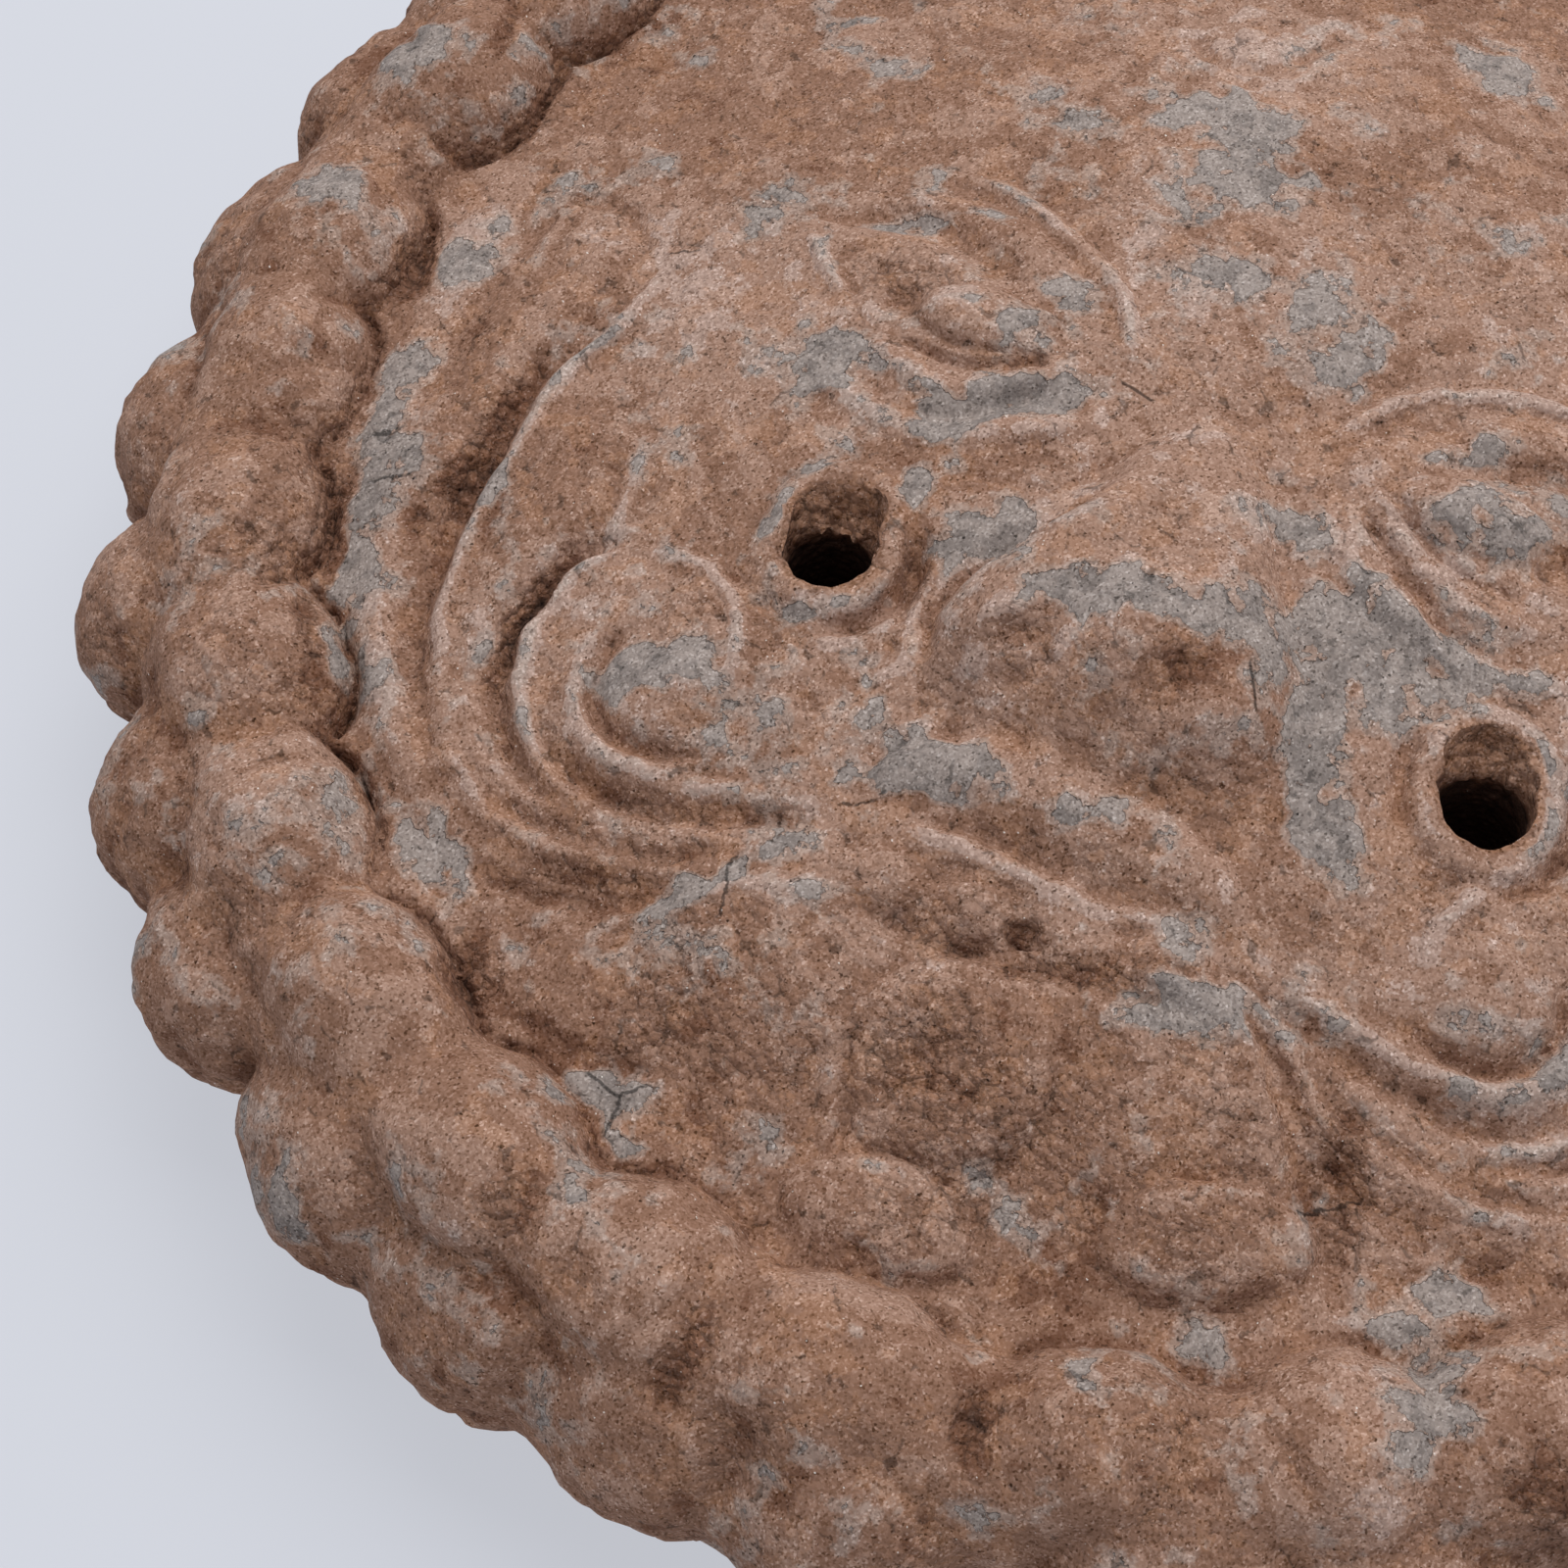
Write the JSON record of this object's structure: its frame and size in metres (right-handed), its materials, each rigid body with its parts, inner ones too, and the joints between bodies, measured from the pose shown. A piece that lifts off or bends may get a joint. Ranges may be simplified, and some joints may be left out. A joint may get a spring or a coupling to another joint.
{
  "type": "round eaves tile",
  "caption": "Round fired-clay eaves tile end with a beast mask in relief, rows of worn beads round its rim and round nail holes through its face; it lies on its flat back.",
  "frame": {"origin": "middle of the flat back", "axes": "+Z out of the face, +Y from the mask's mouth towards its brow, +X towards the viewer's right when the brow is up"},
  "size_m": [0.1564, 0.1564, 0.0343],
  "materials": {
    "fired_clay": "matte"
  },
  "bodies": {
    "root": {"eaves_tile": "fired_clay"}
  },
  "joints": []
}
